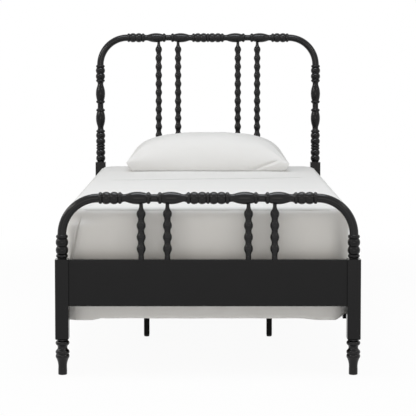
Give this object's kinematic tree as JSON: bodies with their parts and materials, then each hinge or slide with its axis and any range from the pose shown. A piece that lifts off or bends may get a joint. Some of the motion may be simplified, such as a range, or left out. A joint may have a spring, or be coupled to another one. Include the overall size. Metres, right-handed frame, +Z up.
{
  "type": "spool bed",
  "caption": "Painted twin bed with arched turned ends over flat boards, spool spindles, slats, support legs, mattress, sheets and pillow.",
  "frame": {"origin": "on the floor under the middle of the bed", "axes": "+Y from the footboard to the headboard, +X to the right seen from the foot end, +Z up"},
  "size_m": [1.0554, 2.021, 1.1982],
  "materials": {
    "black_painted_wood": "satin black paint over turned and square wood",
    "bare_wood": "planed, unpainted",
    "zinc_steel": "zinc plated",
    "black_painted_steel": "black powder coat",
    "black_plastic": "moulded",
    "foundation_cover": "woven cover",
    "mattress_ticking": "quilted ticking",
    "white_cotton": "smooth cotton"
  },
  "bodies": {
    "frame": {"footboard_post_left": "black_painted_wood", "footboard_foot_left": "black_painted_wood", "footboard_bend_left": "black_painted_wood", "footboard_post_right": "black_painted_wood", "footboard_foot_right": "black_painted_wood", "footboard_bend_right": "black_painted_wood", "footboard_top_rail": "black_painted_wood", "footboard_panel": "black_painted_wood", "footboard_spindle_1": "black_painted_wood", "footboard_spindle_2": "black_painted_wood", "footboard_spindle_3": "black_painted_wood", "footboard_spindle_4": "black_painted_wood", "headboard_post_left": "black_painted_wood", "headboard_foot_left": "black_painted_wood", "headboard_bend_left": "black_painted_wood", "headboard_post_right": "black_painted_wood", "headboard_foot_right": "black_painted_wood", "headboard_bend_right": "black_painted_wood", "headboard_top_rail": "black_painted_wood", "headboard_panel": "black_painted_wood", "headboard_spindle_1": "black_painted_wood", "headboard_spindle_2": "black_painted_wood", "headboard_spindle_3": "black_painted_wood", "headboard_spindle_4": "black_painted_wood", "side_rail_left": "black_painted_wood", "side_rail_right": "black_painted_wood", "slat_cleat_left": "black_painted_wood", "slat_cleat_right": "black_painted_wood", "arch_dowels": "bare_wood", "slat_1": "bare_wood", "slat_2": "bare_wood", "slat_3": "bare_wood", "slat_4": "bare_wood", "slat_5": "bare_wood", "slat_6": "bare_wood", "slat_7": "bare_wood", "slat_8": "bare_wood", "slat_9": "bare_wood", "slat_10": "bare_wood", "foot_bolts": "zinc_steel", "rail_hooks": "zinc_steel", "hook_pins": "zinc_steel", "rail_screws": "zinc_steel", "slat_screws": "zinc_steel", "leg_screws": "zinc_steel", "support_leg_front_left": "black_painted_steel", "support_leg_front_right": "black_painted_steel", "support_leg_rear_left": "black_painted_steel", "support_leg_rear_right": "black_painted_steel", "leg_plugs": "black_plastic"},
    "foundation": {"foundation": "foundation_cover"},
    "mattress": {"mattress": "mattress_ticking", "fitted_sheet": "white_cotton", "flat_sheet": "white_cotton"},
    "pillow": {"pillow": "white_cotton"},
    "leg_glide_front_left": {"leg_glide_front_left": "black_plastic"},
    "leg_glide_front_right": {"leg_glide_front_right": "black_plastic"},
    "leg_glide_rear_left": {"leg_glide_rear_left": "black_plastic"},
    "leg_glide_rear_right": {"leg_glide_rear_right": "black_plastic"}
  },
  "joints": [
    {"name": "foundation_lift", "type": "slide", "parent": "frame", "child": "foundation", "axis": [0, 0, 1], "range_m": [0, 0.3]},
    {"name": "mattress_lift", "type": "slide", "parent": "foundation", "child": "mattress", "axis": [0, 0, 1], "range_m": [0, 0.25]},
    {"name": "pillow_lift", "type": "slide", "parent": "mattress", "child": "pillow", "axis": [0, 0, 1], "range_m": [0, 0.3]},
    {"name": "leg_glide_front_left_screw", "type": "slide", "parent": "frame", "child": "leg_glide_front_left", "axis": [0, 0, -1], "range_m": [0, 0.012]},
    {"name": "leg_glide_front_right_screw", "type": "slide", "parent": "frame", "child": "leg_glide_front_right", "axis": [0, 0, -1], "range_m": [0, 0.012]},
    {"name": "leg_glide_rear_left_screw", "type": "slide", "parent": "frame", "child": "leg_glide_rear_left", "axis": [0, 0, -1], "range_m": [0, 0.012]},
    {"name": "leg_glide_rear_right_screw", "type": "slide", "parent": "frame", "child": "leg_glide_rear_right", "axis": [0, 0, -1], "range_m": [0, 0.012]}
  ]
}
